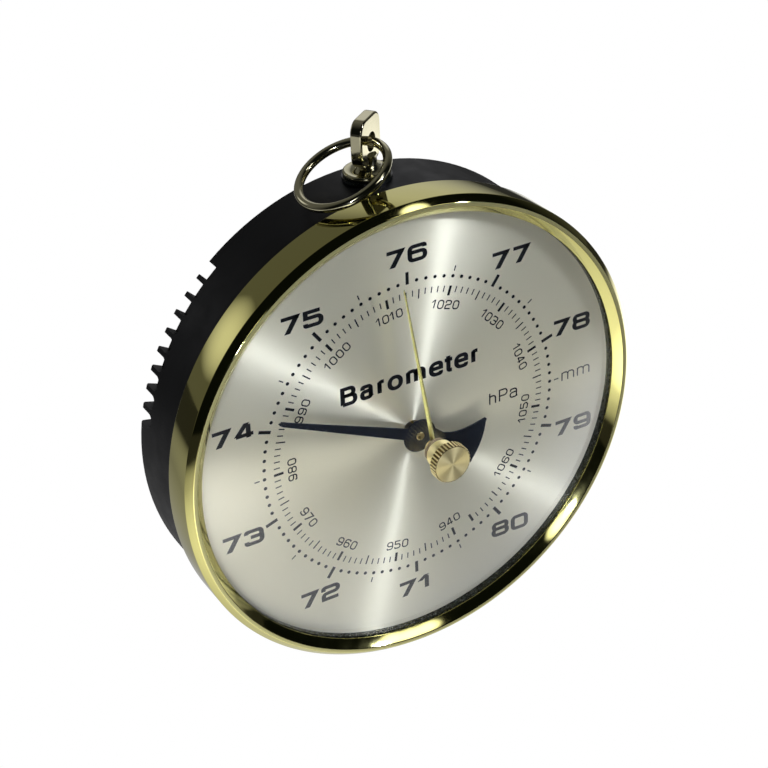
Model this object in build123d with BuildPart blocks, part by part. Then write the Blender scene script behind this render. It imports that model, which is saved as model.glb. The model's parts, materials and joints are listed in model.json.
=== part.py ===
import os
from math import asin, cos, degrees, pi, radians, sin, sqrt

from build123d import *

# Wall-hung aneroid barometer, millimetres.
# Origin: centre of the back face, on the dial's axis.  +Z is up (the 76 of the dial),
# +Y points into the wall and the viewer looks along +Y, so a thing that stands d millimetres
# out from the wall has y = -d.  Most depths below are given as that distance d.

# ---------------------------------------------------------------- driving dimensions
CASE_R = 63.4            # moulded case
CASE_WALL = 2.2
BACK_WALL = 2.5
CASE_FRONT = 24.55       # front edge of the case, which the dial lies on
BEZEL_R = 65.0           # brass ring over the front of the case
BEZEL_REAR = 20.15
BEZEL_CORNER = 29.25     # where the cylinder turns into the outer bevel
BEZEL_CREST = 31.0
CREST_OUT_R = 63.4
CREST_IN_R = 62.4
LIP_R = 60.3             # sight opening
LIP_D = 29.0
SEAT_R = 61.8            # bore which holds glass, spacer and dial
DIAL_R = 61.5
DIAL_D = 25.4            # front surface of the dial
DIAL_T = 0.8
GLASS_R = 61.6
GLASS_APEX = 38.6        # top of the domed glass
GLASS_SPHERE = 189.0
GLASS_T = 1.6
SPACER_IN_R = 60.0

VENT_COUNT = 9           # slots on each flank
VENT_PITCH = 4.64        # degrees
VENT_CENTRE = 60.0       # degrees each side of the top
VENT_W = 3.9
VENT_DEPTH = 6.0         # along the axis, from the rear rim
VENT_FLOOR_R = 60.2

PLATE_R = 47.0           # movement base plate
PLATE_D = 5.0
PLATE_T = 1.6
BOSS_XZ = 28.3           # case bosses, on a square
CAPSULE_R = 22.0
CAPSULE_MID = 9.75       # soldered joint of the two halves
BRIDGE_Z = -33.0         # clamp line of the main spring
BRIDGE_TOP = 14.5
LEAF_T = 0.8
LEAF_D = 14.65
LEAF_END_Z = 12.0
LEVER_X = -3.3
ROCKER_X = 1.2           # regulator arbor, parallel to Z
ROCKER_D = 11.0
DRIVE_ARM_Z = 39.0       # arm which the link moves
FINGER_Z = 33.5          # finger which moves the sector
SECTOR_Z = 26.0          # sector pivot above the dial centre
REAR_PLATE_D = 18.0
FRONT_PLATE_D = 22.4
THIN_PLATE_T = 0.8
PILLARS = [(-22, 20), (22, 20), (-22, -12), (22, -12)]

MODULE = 0.4
PINION_TEETH = 10
SECTOR_TEETH = 120       # counted round a full circle
SECTOR_FROM = 163.5      # toothed arc, clockwise from the top
SECTOR_TO = 205.5

POINTER_ANGLE = 293.5    # clockwise from the top, 74.15 cmHg
POINTER_D = 28.95
POINTER_T = 0.4
POINTER_TIP = 42.5
HUB_R = 4.6
TAIL_R = 19.8
TAIL_HALF_ANGLE = 19.0
SET_ANGLE = -5.3
SET_TIP = 43.5
SET_ROOT_D = 36.1        # distance from the wall at the boss and at the tip
SET_TIP_D = 30.9

KNOB_R = 5.2
KNOB_FACE = 45.6
KNOB_HEAD_D = 42.9
KNOB_COLLAR_D = 39.1
KNOB_COLLAR_R = 3.7
KNOB_FLUTES = 34
KNOB_FLUTE_R = 0.36
SPINDLE_R = 1.25

HANGER_D = 8.0           # stud axis, out from the wall
HANGER_TURN = 37.0       # degrees the eye is swung from square to the dial
EYE_W = 11.5
EYE_T = 3.1
EYE_EDGE_R = 0.5         # rounding of the eye's outline
EYE_TOP = 79.5
EYE_BOTTOM = 67.2
EYE_HOLE_Z = 72.9
EYE_HOLE_R = 2.5
STUD_R = 2.5
STUD_END_Z = 56.0
FLANGE_Z = 64.3
FLANGE_R = 6.0
NECK_TOP_Z = 69.5
NUT_Z = 57.2
NUT_T = 3.2
RING_R = 11.6            # centre line
RING_WIRE_R = 1.15
RING_CENTRE = (-9.4, -13.2, 68.6)
RING_NORMAL = (-0.4159, -0.0051, 0.9094)

HALF_SECTION = Plane(origin=(0, 0, 0), x_dir=(1, 0, 0), z_dir=(0, 0, -1))   # (radius, d)
RUNNING = 0.05           # radial clearance of pivots


# ---------------------------------------------------------------- helpers
def facing(d):
    """Plane parallel to the dial at distance d from the wall; local x, y are row X, Z."""
    return Plane.XZ.offset(d)


def turned(points, mode=Mode.ADD):
    """Solid of revolution about the dial axis from a closed outline of (radius, d)."""
    with BuildSketch(HALF_SECTION) as outline:
        with BuildLine():
            Polyline(*points, close=True)
        make_face()
    revolve(outline.sketch, axis=Axis.Y, mode=mode)


def pegs(places, radius, d_from, d_to, mode=Mode.ADD):
    """Round bars square to the dial, from d_from to d_to, at the places (x, z)."""
    with BuildSketch(facing(d_from)) as ends:
        with Locations(*places):
            Circle(radius)
    extrude(ends.sketch, amount=d_to - d_from, mode=mode)


def hex_bar(places, across_flats, d_from, d_to):
    with BuildSketch(facing(d_from)) as ends:
        with Locations(*places):
            RegularPolygon(across_flats / 2, 6, major_radius=False)
    extrude(ends.sketch, amount=d_to - d_from)


def slots_in(places, length, width, d_from, d_to):
    """Screwdriver slots cut into screw heads."""
    with BuildSketch(facing(d_from)) as slots:
        with Locations(*places):
            Rectangle(length, width)
    extrude(slots.sketch, amount=d_to - d_from, mode=Mode.SUBTRACT)


def finish(builder, name):
    builder.part.label = name
    export_step(builder.part, f"parts/{name}.step")
    print(f"{name}: {len(builder.part.solids())} solid(s)")


def glass_d(radius, inner=False):
    """Distance from the wall of the domed glass at a radius."""
    sphere = GLASS_SPHERE - (GLASS_T if inner else 0)
    apex = GLASS_APEX - (GLASS_T if inner else 0)
    return apex - (sphere - sqrt(sphere**2 - radius**2))


def clock(radius, angle):
    """Point (x, z) at a radius and at an angle clockwise from the top."""
    return (radius * sin(radians(angle)), radius * cos(radians(angle)))


os.makedirs("parts", exist_ok=True)

# ---------------------------------------------------------------- case
boss_places = [(sx * BOSS_XZ, sz * BOSS_XZ) for sx in (-1, 1) for sz in (-1, 1)]
inner_r = CASE_R - CASE_WALL
vent_straight = VENT_DEPTH - VENT_W / 2
with BuildPart() as rear_case:
    turned([(0, 0), (CASE_R - 0.6, 0), (CASE_R, 0.6), (CASE_R, CASE_FRONT),
            (inner_r, CASE_FRONT), (inner_r, BACK_WALL), (0, BACK_WALL)])
    pegs(boss_places, 3.5, BACK_WALL, PLATE_D)
    pegs(boss_places, 1.25, 1.2, PLATE_D, Mode.SUBTRACT)
    pegs([(0, BRIDGE_Z)], 3.5, -1, BACK_WALL + 1, Mode.SUBTRACT)
    for side in (-1, 1):
        for i in range(VENT_COUNT):
            x, z = clock(1, side * (VENT_CENTRE + (i - (VENT_COUNT - 1) / 2) * VENT_PITCH))
            floor = (x * VENT_FLOOR_R, 0, z * VENT_FLOOR_R)
            with BuildSketch(Plane(origin=floor, x_dir=(z, 0, -x), z_dir=(x, 0, z))):
                with Locations((0, (1 - vent_straight) / 2)):
                    Rectangle(VENT_W, vent_straight + 1)
                with Locations((0, -vent_straight)):
                    Circle(VENT_W / 2)
            extrude(amount=CASE_R - VENT_FLOOR_R + 1, mode=Mode.SUBTRACT)
    with BuildSketch(Plane.XY.offset(inner_r - 4)):
        with Locations((0, -HANGER_D)):
            Circle(STUD_R + RUNNING)
    extrude(amount=10, mode=Mode.SUBTRACT)
finish(rear_case, "rear_case")

# ---------------------------------------------------------------- bezel, glass and dial
with BuildPart() as bezel:
    turned([(CASE_R + 0.05, BEZEL_REAR), (BEZEL_R - 0.3, BEZEL_REAR), (BEZEL_R, BEZEL_REAR + 0.3),
            (BEZEL_R, BEZEL_CORNER), (CREST_OUT_R, BEZEL_CREST), (CREST_IN_R, BEZEL_CREST),
            (LIP_R, LIP_D), (LIP_R, LIP_D - 0.2), (SEAT_R, LIP_D - 0.62),
            (SEAT_R, CASE_FRONT + 0.05), (CASE_R + 0.05, CASE_FRONT + 0.05)])
finish(bezel, "bezel")

GLASS_HOLE_R = 1.45
with BuildPart() as glass:
    with BuildSketch(HALF_SECTION):
        with BuildLine():
            arcs = {}
            for inner in (False, True):
                stations = [(r, glass_d(r, inner)) for r in (GLASS_HOLE_R, GLASS_R / 2, GLASS_R)]
                arcs[inner] = ThreePointArc(*stations)
            Line(arcs[False] @ 0, arcs[True] @ 0)
            Line(arcs[False] @ 1, arcs[True] @ 1)
        make_face()
    revolve(axis=Axis.Y)
finish(glass, "glass")

with BuildPart() as spacer_ring:
    turned([(SPACER_IN_R, DIAL_D + 0.05), (GLASS_R, DIAL_D + 0.05), (GLASS_R, 26.5),
            (SPACER_IN_R, 27.05)])
finish(spacer_ring, "spacer_ring")

with BuildPart() as dial:
    with BuildSketch(facing(DIAL_D - DIAL_T)):
        Circle(DIAL_R)
        Circle(2.5, mode=Mode.SUBTRACT)
    extrude(amount=DIAL_T)
finish(dial, "dial")

# ---------------------------------------------------------------- movement base
post_places = [(ROCKER_X, 30.0), (ROCKER_X, 43.5)]
bridge_places = [(-9, BRIDGE_Z), (9, BRIDGE_Z)]
plate_front = PLATE_D + PLATE_T
with BuildPart() as base_plate:
    pegs([(0, 0)], PLATE_R, PLATE_D, plate_front)
    pegs(boss_places, 1.5, PLATE_D, plate_front, Mode.SUBTRACT)
    pegs([(0, 0)], 2.05, PLATE_D, plate_front, Mode.SUBTRACT)
    pegs(PILLARS, 1.22, PLATE_D, plate_front, Mode.SUBTRACT)
    pegs(bridge_places, 1.25, PLATE_D, plate_front, Mode.SUBTRACT)
    pegs(post_places, 0.95, PLATE_D, plate_front, Mode.SUBTRACT)
    pegs([(0, BRIDGE_Z)], 1.6, PLATE_D, plate_front, Mode.SUBTRACT)
    with BuildSketch(facing(PLATE_D)):
        with Locations((-36, 0), (36, 0)):
            SlotOverall(26, 7, rotation=90)
    extrude(amount=PLATE_T, mode=Mode.SUBTRACT)
finish(base_plate, "base_plate")

with BuildPart() as base_screws:
    pegs(boss_places, 1.2, 1.5, plate_front)
    pegs(boss_places, 2.4, plate_front, plate_front + 1.6)
    slots_in(boss_places, 6, 0.6, plate_front + 0.9, plate_front + 2)
finish(base_screws, "base_screws")

# ---------------------------------------------------------------- capsule
WAVES = 4
WAVE_IN_R = 5.0
WAVE_OUT_R = 20.0
SKIN = 0.35


def corrugated(floor, side):
    """Half of the capsule: floor is its outer face, side is +1 or -1 for the way it opens."""
    def skin(depth):
        stations = []
        for step in range(WAVES * 8 + 1):
            r = WAVE_IN_R + (WAVE_OUT_R - WAVE_IN_R) * step / (WAVES * 8)
            rise = 0.4 * (1 - cos(2 * pi * step / 8))
            stations.append((r, floor + side * (rise + depth)))
        return stations
    rim = CAPSULE_MID
    with BuildSketch(HALF_SECTION) as outline:
        with BuildLine():
            outer = Spline(*skin(0))
            inner = Spline(*skin(SKIN))
            Line((0, floor), outer @ 0)
            Polyline(outer @ 1, (20.6, floor), (20.6, rim - side * SKIN), (CAPSULE_R, rim - side * SKIN),
                     (CAPSULE_R, rim), (20.2, rim), (20.2, floor + side * SKIN), inner @ 1)
            Polyline(inner @ 0, (WAVE_IN_R, floor + side * 0.9), (0, floor + side * 0.9), (0, floor))
        make_face()
    revolve(outline.sketch, axis=Axis.Y)


CAPSULE_FLOOR = 7.4
CAPSULE_TOP = 2 * CAPSULE_MID - CAPSULE_FLOOR
with BuildPart() as capsule_lower:
    corrugated(CAPSULE_FLOOR, 1)
    pegs([(0, 0)], 2.0, 2.9, CAPSULE_FLOOR)
finish(capsule_lower, "capsule_lower")

with BuildPart() as capsule_upper:
    corrugated(CAPSULE_TOP, -1)
finish(capsule_upper, "capsule_upper")

with BuildPart() as capsule_nut:
    hex_bar([(0, 0)], 6.5, 3.1, PLATE_D - 0.05)
    pegs([(0, 0)], 2.05, 3.1, PLATE_D, Mode.SUBTRACT)
finish(capsule_nut, "capsule_nut")

leaf_front = LEAF_D + LEAF_T
with BuildPart() as capsule_stud:
    pegs([(0, 0)], 4.0, CAPSULE_TOP, CAPSULE_TOP + 0.8)
    pegs([(0, 0)], 1.2, CAPSULE_TOP + 0.8, leaf_front + 1.9)
finish(capsule_stud, "capsule_stud")

with BuildPart() as stud_nut:
    hex_bar([(0, 0)], 4.4, leaf_front + 0.15, leaf_front + 1.6)
    pegs([(0, 0)], 1.22, leaf_front, leaf_front + 2, Mode.SUBTRACT)
finish(stud_nut, "stud_nut")

# ---------------------------------------------------------------- main spring and its bridge
clamp_places = [(-5.5, BRIDGE_Z), (5.5, BRIDGE_Z)]
rivet_places = [(-3.6, LEAF_END_Z - 3.4), (3.6, LEAF_END_Z - 3.4)]
with BuildPart() as spring_bridge:
    with BuildSketch(facing(plate_front)):
        with Locations((0, BRIDGE_Z)):
            RectangleRounded(30, 9, 2)
    extrude(amount=BRIDGE_TOP - plate_front)
    pegs([(0, BRIDGE_Z)], 1.5 + RUNNING, plate_front, 12.5, Mode.SUBTRACT)
    pegs(bridge_places, 1.22, plate_front, 10.5, Mode.SUBTRACT)
    pegs(clamp_places, 1.02, 11, BRIDGE_TOP, Mode.SUBTRACT)
finish(spring_bridge, "spring_bridge")

with BuildPart() as bridge_screws:
    pegs(bridge_places, 1.2, PLATE_D, 10.3)
    pegs(bridge_places, 2.2, 3.4, PLATE_D)
    slots_in(bridge_places, 6, 0.6, 3.3, 4.0)
finish(bridge_screws, "bridge_screws")

with BuildPart() as main_spring:
    with BuildSketch(facing(LEAF_D)):
        with BuildLine():
            Polyline((-12, BRIDGE_Z - 4.5), (12, BRIDGE_Z - 4.5), (12, BRIDGE_Z + 8),
                     (6.5, LEAF_END_Z), (-6.5, LEAF_END_Z), (-12, BRIDGE_Z + 8), close=True)
        make_face()
        with Locations(*clamp_places):
            Circle(1.5, mode=Mode.SUBTRACT)
        Circle(1.6, mode=Mode.SUBTRACT)
        with Locations(*rivet_places):
            Circle(0.92, mode=Mode.SUBTRACT)
    extrude(amount=LEAF_T)
finish(main_spring, "main_spring")

clamp_d = leaf_front + 0.2
with BuildPart() as spring_clamp:
    with BuildSketch(facing(clamp_d)):
        with Locations((0, BRIDGE_Z)):
            RectangleRounded(24, 7, 1)
        with Locations(*clamp_places):
            Circle(1.02, mode=Mode.SUBTRACT)
    extrude(amount=1.2)
finish(spring_clamp, "spring_clamp")

with BuildPart() as clamp_screws:
    pegs(clamp_places, 1.0, 11.2, clamp_d + 1.2)
    pegs(clamp_places, 2.0, clamp_d + 1.2, clamp_d + 2.4)
    slots_in(clamp_places, 5, 0.5, clamp_d + 1.9, clamp_d + 3)
finish(clamp_screws, "clamp_screws")

LEVER_T = 1.0
with BuildPart() as main_lever:
    with BuildSketch(facing(leaf_front)):
        with BuildLine():
            Polyline((-6, 5.4), (6, 5.4), (6, LEAF_END_Z), (LEVER_X + 1.5, LEAF_END_Z + 8),
                     (LEVER_X + 1.5, DRIVE_ARM_Z), (LEVER_X - 1.5, DRIVE_ARM_Z),
                     (LEVER_X - 1.5, LEAF_END_Z + 3), (-6, LEAF_END_Z), close=True)
        make_face()
        with Locations((LEVER_X, DRIVE_ARM_Z)):
            Circle(1.5)
            Circle(0.75, mode=Mode.SUBTRACT)
        with Locations(*rivet_places):
            Circle(0.92, mode=Mode.SUBTRACT)
    extrude(amount=LEVER_T)
finish(main_lever, "main_lever")

with BuildPart() as lever_rivets:
    pegs(rivet_places, 0.9, LEAF_D, leaf_front + LEVER_T)
    pegs(rivet_places, 1.5, LEAF_D - 0.5, LEAF_D)
    pegs(rivet_places, 1.5, leaf_front + LEVER_T, leaf_front + LEVER_T + 0.5)
finish(lever_rivets, "lever_rivets")

link_place = [(LEVER_X, DRIVE_ARM_Z)]
with BuildPart() as lever_link:
    pegs(link_place, 0.4, 9.0, leaf_front + LEVER_T + 0.9)
    pegs(link_place, 1.1, 9.0, 9.6)
    pegs(link_place, 1.1, leaf_front + LEVER_T + 0.3, leaf_front + LEVER_T + 0.9)
finish(lever_link, "lever_link")

# ---------------------------------------------------------------- regulator arbor and its posts
POST_T = 2.0
with BuildPart() as rocker_posts:
    with BuildSketch(facing(plate_front)):
        with Locations(*post_places):
            Rectangle(6, POST_T)
    extrude(amount=13.5 - plate_front)
    pegs(post_places, 0.92, plate_front, 9.6, Mode.SUBTRACT)
    with BuildSketch(Plane.XY.offset(post_places[0][1] - 5)):
        with Locations((ROCKER_X, -ROCKER_D)):
            Circle(0.5 + RUNNING)
    extrude(amount=25, mode=Mode.SUBTRACT)
finish(rocker_posts, "rocker_posts")

with BuildPart() as post_screws:
    pegs(post_places, 0.9, PLATE_D, 9.4)
    pegs(post_places, 1.7, 3.6, PLATE_D)
    slots_in(post_places, 4, 0.5, 3.5, 4.1)
finish(post_screws, "post_screws")

shaft_from = post_places[0][1] + POST_T / 2 + 0.3
shaft_to = post_places[1][1] - POST_T / 2 - 0.3
with BuildPart() as rocker_shaft:
    for radius, z_from, z_to in ((1.0, shaft_from, shaft_to),
                                 (0.5, shaft_from - 1.8, shaft_from),
                                 (0.5, shaft_to, shaft_to + 1.8)):
        with BuildSketch(Plane.XY.offset(z_from)):
            with Locations((ROCKER_X, -ROCKER_D)):
                Circle(radius)
        extrude(amount=z_to - z_from)
    with BuildSketch(facing(ROCKER_D - 0.6)):
        with Locations(((ROCKER_X + LEVER_X) / 2, DRIVE_ARM_Z)):
            Rectangle(ROCKER_X - LEVER_X, 2.4)
        with Locations((LEVER_X, DRIVE_ARM_Z)):
            Circle(1.7)
            Circle(0.85, mode=Mode.SUBTRACT)
    extrude(amount=1.2)
    pegs([(ROCKER_X, FINGER_Z)], 0.6, ROCKER_D, 21.0)
finish(rocker_shaft, "rocker_shaft")

# ---------------------------------------------------------------- gear train between two plates
pinion_pitch_r = MODULE * PINION_TEETH / 2
sector_pitch_r = MODULE * SECTOR_TEETH / 2


def rim_points(teeth, pitch_r, angle_from, angle_to, first):
    """Outline of a toothed rim: straight-flanked teeth centred at first + n x pitch angle."""
    step = 360 / teeth
    tip_r = pitch_r + 0.8 * MODULE
    root_r = pitch_r - 1.15 * MODULE
    half_tip = degrees(0.28 * MODULE / tip_r)
    half_root = degrees(0.95 * MODULE / root_r)
    points = []
    count = int((angle_to - first) // step) + 1
    for i in range(count):
        centre = first + i * step
        if centre < angle_from:
            continue
        points += [clock(root_r, centre - half_root), clock(tip_r, centre - half_tip),
                   clock(tip_r, centre + half_tip), clock(root_r, centre + half_root)]
    return points


SECTOR_D = 19.6
tail_reach = FINGER_Z - SECTOR_Z
tail_angle = degrees(asin(ROCKER_X / sqrt(ROCKER_X**2 + tail_reach**2)))
sector_plane = Plane(origin=(0, -SECTOR_D, SECTOR_Z), x_dir=(1, 0, 0), z_dir=(0, -1, 0))
with BuildPart() as sector_gear:
    with BuildSketch(sector_plane):
        with BuildLine():
            rim = rim_points(SECTOR_TEETH, sector_pitch_r, SECTOR_FROM, SECTOR_TO, 180 / SECTOR_TEETH)
            Polyline(clock(3.2, 100), *rim, clock(3.2, 260), close=True)
        make_face()
        Circle(3.4)
        with Locations(Location((*clock(5.2, tail_angle), 0), (0, 0, -tail_angle))):
            Rectangle(4.6, 10.4)
        with Locations(Location((*clock(8.6, tail_angle), 0), (0, 0, -tail_angle))):
            Rectangle(1.9, 4.6, mode=Mode.SUBTRACT)
        Circle(1.02, mode=Mode.SUBTRACT)
        with Locations(Location((*clock(13.5, 184.5), 0), (0, 0, -4.5))):
            Ellipse(1.8, 6, mode=Mode.SUBTRACT)
    extrude(amount=1.0)
finish(sector_gear, "sector_gear")

rear_front = REAR_PLATE_D + THIN_PLATE_T
with BuildPart() as sector_arbor:
    place = [(0, SECTOR_Z)]
    pegs(place, 0.5, REAR_PLATE_D + 0.1, rear_front + 0.2)
    pegs(place, 1.0, rear_front + 0.2, FRONT_PLATE_D - 0.2)
    pegs(place, 0.5, FRONT_PLATE_D - 0.2, FRONT_PLATE_D + THIN_PLATE_T)
finish(sector_arbor, "sector_arbor")


def bridge_plate(d_from):
    """Outline shared by the two thin plates of the gear train."""
    with BuildSketch(facing(d_from)) as outline:
        for x, z in PILLARS:
            with BuildLine():
                Line((0, 0), (x, z))
            with Locations((x, z)):
                Circle(3.4)
        make_hull()
        with Locations((0, SECTOR_Z)):
            Circle(4.2)
        with Locations((-12.5, 4), (12.5, 4)):
            RectangleRounded(11, 22, 3, mode=Mode.SUBTRACT)
    extrude(outline.sketch, amount=THIN_PLATE_T)


with BuildPart() as rear_plate:
    bridge_plate(REAR_PLATE_D)
    pegs([(0, 0), (0, SECTOR_Z)], 0.5 + RUNNING, REAR_PLATE_D, rear_front, Mode.SUBTRACT)
    pegs(PILLARS, 0.95, REAR_PLATE_D, rear_front, Mode.SUBTRACT)
finish(rear_plate, "rear_plate")

with BuildPart() as front_plate:
    bridge_plate(FRONT_PLATE_D)
    pegs([(0, 0)], 1.0 + RUNNING, FRONT_PLATE_D, FRONT_PLATE_D + THIN_PLATE_T, Mode.SUBTRACT)
    pegs([(0, SECTOR_Z)], 0.5 + RUNNING, FRONT_PLATE_D, FRONT_PLATE_D + THIN_PLATE_T, Mode.SUBTRACT)
    pegs(PILLARS, 0.95, FRONT_PLATE_D, FRONT_PLATE_D + THIN_PLATE_T, Mode.SUBTRACT)
finish(front_plate, "front_plate")

with BuildPart() as lower_pillars:
    pegs(PILLARS, 2.0, plate_front, REAR_PLATE_D)
    pegs(PILLARS, 1.2, PLATE_D, plate_front)
    pegs(PILLARS, 0.92, 15.5, REAR_PLATE_D, Mode.SUBTRACT)
finish(lower_pillars, "lower_pillars")

with BuildPart() as upper_pillars:
    pegs(PILLARS, 1.9, rear_front, FRONT_PLATE_D)
    pegs(PILLARS, 0.9, 15.7, rear_front)
    pegs(PILLARS, 0.92, 19.6, FRONT_PLATE_D, Mode.SUBTRACT)
finish(upper_pillars, "upper_pillars")

with BuildPart() as plate_screws:
    head_d = FRONT_PLATE_D + THIN_PLATE_T
    pegs(PILLARS, 0.9, 19.8, head_d)
    pegs(PILLARS, 2.0, head_d, head_d + 1.0)
    slots_in(PILLARS, 5, 0.5, head_d + 0.5, head_d + 2)
finish(plate_screws, "plate_screws")

# ---------------------------------------------------------------- pointer arbor and pointer
with BuildPart() as pinion_arbor:
    with BuildSketch(facing(19.2)):
        with BuildLine():
            Polyline(*rim_points(PINION_TEETH, pinion_pitch_r, 0, 359, 0), close=True)
        make_face()
    extrude(amount=1.9)
    pegs([(0, 0)], 0.5, REAR_PLATE_D + 0.1, rear_front + 0.2)
    pegs([(0, 0)], 1.0, rear_front + 0.2, 26.2)
    pegs([(0, 0)], 0.7, 26.2, POINTER_D + POINTER_T)
    pegs([(0, 0)], 1.45, 21.5, 22.1)
finish(pinion_arbor, "pinion_arbor")

COILS = 4.5
COIL_FROM_R = 1.62
COIL_TO_R = 5.6


def spiral(shift):
    """Stations of the flat hairspring's edge, spaced evenly along its turns."""
    stations = []
    steps = int(COILS * 12)
    for i in range(steps + 1):
        r = COIL_FROM_R + shift + (COIL_TO_R - COIL_FROM_R) * i / steps
        stations.append(clock(r, 360 * COILS * i / steps))
    return stations


with BuildPart() as hairspring:
    with BuildSketch(facing(21.6)):
        with BuildLine():
            edge_in = Spline(*spiral(0))
            edge_out = Spline(*spiral(0.16))
            Line(edge_in @ 0, edge_out @ 0)
            Line(edge_in @ 1, edge_out @ 1)
        make_face()
    extrude(amount=0.4)
finish(hairspring, "hairspring")

with BuildPart() as hairspring_stud:
    x, z = clock(COIL_TO_R + 0.95, 360 * COILS)
    pegs([(x, z)], 0.7, 21.4, FRONT_PLATE_D)
finish(hairspring_stud, "hairspring_stud")

pointing = (sin(radians(POINTER_ANGLE)), 0, cos(radians(POINTER_ANGLE)))
pointer_plane = Plane(origin=(0, -POINTER_D, 0), x_dir=pointing, z_dir=(0, -1, 0))
with BuildPart() as pointer:
    with BuildSketch(pointer_plane):
        Circle(HUB_R)
        with BuildLine():
            Polyline((0, 1.6), (POINTER_TIP - 1.6, 0.65), (POINTER_TIP, 0), (POINTER_TIP - 1.6, -0.65),
                     (0, -1.6), close=True)
        make_face()
        with BuildLine():
            corner_x = -TAIL_R * cos(radians(TAIL_HALF_ANGLE))
            corner_y = TAIL_R * sin(radians(TAIL_HALF_ANGLE))
            upper = ThreePointArc((-3.0, 1.6), (-11.6, 2.35), (corner_x, corner_y))
            end = ThreePointArc((corner_x, corner_y), (-TAIL_R, 0), (corner_x, -corner_y))
            lower = ThreePointArc((corner_x, -corner_y), (-11.6, -2.35), (-3.0, -1.6))
            Line((-3.0, -1.6), (-3.0, 1.6))
        make_face()
        Circle(1.12, mode=Mode.SUBTRACT)
    extrude(amount=POINTER_T)
finish(pointer, "pointer")

with BuildPart() as pointer_bush:
    pegs([(0, 0)], 1.9, 26.3, POINTER_D)
    pegs([(0, 0)], 1.1, POINTER_D, POINTER_D + POINTER_T + 0.45)
    fillet(edges().group_by(Axis.Y)[0], 0.2)
    pegs([(0, 0)], 0.72, 26.3, POINTER_D + POINTER_T + 0.02, Mode.SUBTRACT)
finish(pointer_bush, "pointer_bush")

# ---------------------------------------------------------------- set hand and its knob
with BuildPart() as set_knob:
    turned([(0, KNOB_COLLAR_D), (KNOB_COLLAR_R, KNOB_COLLAR_D), (KNOB_COLLAR_R, KNOB_HEAD_D),
            (KNOB_R - 0.2, KNOB_HEAD_D), (KNOB_R, KNOB_HEAD_D + 0.2), (KNOB_R, KNOB_FACE - 0.25),
            (KNOB_R - 0.2, KNOB_FACE - 0.05), (0, KNOB_FACE)])
    with BuildSketch(facing(KNOB_HEAD_D - 0.1)):
        with PolarLocations(KNOB_R + 0.05, KNOB_FLUTES):
            Circle(KNOB_FLUTE_R)
    extrude(amount=KNOB_FACE - KNOB_HEAD_D + 0.2, mode=Mode.SUBTRACT)
    pegs([(0, 0)], SPINDLE_R + 0.02, KNOB_COLLAR_D, KNOB_FACE - 2, Mode.SUBTRACT)
finish(set_knob, "set_knob")

BOSS_BACK = 35.3
BOSS_FRONT = 36.55
with BuildPart() as set_spindle:
    pegs([(0, 0)], SPINDLE_R, BOSS_BACK - 0.35, KNOB_FACE - 2.1)
finish(set_spindle, "set_spindle")

with BuildPart() as outer_washer:
    pegs([(0, 0)], 4.4, GLASS_APEX + 0.03, KNOB_COLLAR_D - 0.1)
    pegs([(0, 0)], 1.45, GLASS_APEX, KNOB_COLLAR_D, Mode.SUBTRACT)
finish(outer_washer, "outer_washer")

with BuildPart() as inner_washer:
    pegs([(0, 0)], 3.2, BOSS_FRONT + 0.1, glass_d(3.2, inner=True) - 0.02)
    pegs([(0, 0)], 1.45, BOSS_FRONT, GLASS_APEX, Mode.SUBTRACT)
finish(inner_washer, "inner_washer")

with BuildPart() as set_hand_boss:
    pegs([(0, 0)], 2.3, BOSS_BACK, BOSS_FRONT)
    pegs([(0, 0)], SPINDLE_R + 0.02, BOSS_BACK, BOSS_FRONT, Mode.SUBTRACT)
finish(set_hand_boss, "set_hand_boss")

fall = degrees(asin((SET_ROOT_D - SET_TIP_D) / SET_TIP))
lean_y = sin(radians(fall))
lean_z = cos(radians(fall))
hand_x, hand_z = clock(1, SET_ANGLE)
hand_plane = Plane(origin=(0, -SET_ROOT_D + 0.15, 0), x_dir=(hand_x * lean_z, lean_y, hand_z * lean_z),
                   z_dir=(hand_x * lean_y, -lean_z, hand_z * lean_y))
with BuildPart() as set_hand:
    with BuildSketch(hand_plane):
        with BuildLine():
            Polyline((2.32, -0.65), (SET_TIP, -0.2), (SET_TIP + 0.4, 0), (SET_TIP, 0.2),
                     (2.32, 0.65), close=True)
        make_face()
    extrude(amount=0.3)
finish(set_hand, "set_hand")

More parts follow.
